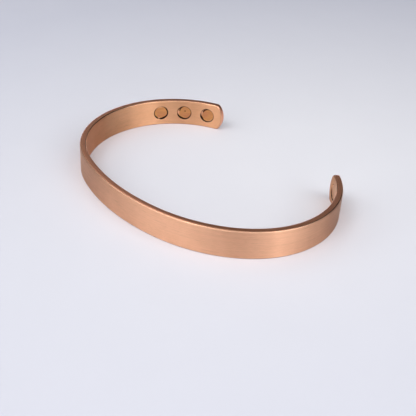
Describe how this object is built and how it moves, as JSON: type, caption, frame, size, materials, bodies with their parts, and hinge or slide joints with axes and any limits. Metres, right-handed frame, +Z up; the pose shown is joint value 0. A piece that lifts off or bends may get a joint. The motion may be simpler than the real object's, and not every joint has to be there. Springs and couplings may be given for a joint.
{
  "type": "copper cuff bracelet",
  "caption": "Open oval cuff of flat brushed copper strip with rounded ends and small disc magnets set flush in its inner face near each end.",
  "frame": {"origin": "middle of the outline seen from above, on the plane that the lower edge rests on", "axes": "+Z up along the width of the strip, +X across the wrist towards the right end, -Y towards the closed front; the opening between the ends faces +Y"},
  "size_m": [0.0768, 0.0531, 0.0079],
  "materials": {
    "copper": "satin copper, brushed along the strip",
    "magnet_copper": "satin copper-coloured plating"
  },
  "bodies": {
    "root": {"band": "copper", "magnet_left_1": "magnet_copper", "magnet_left_2": "magnet_copper", "magnet_left_3": "magnet_copper", "magnet_right_1": "magnet_copper", "magnet_right_2": "magnet_copper", "magnet_right_3": "magnet_copper"}
  },
  "joints": []
}
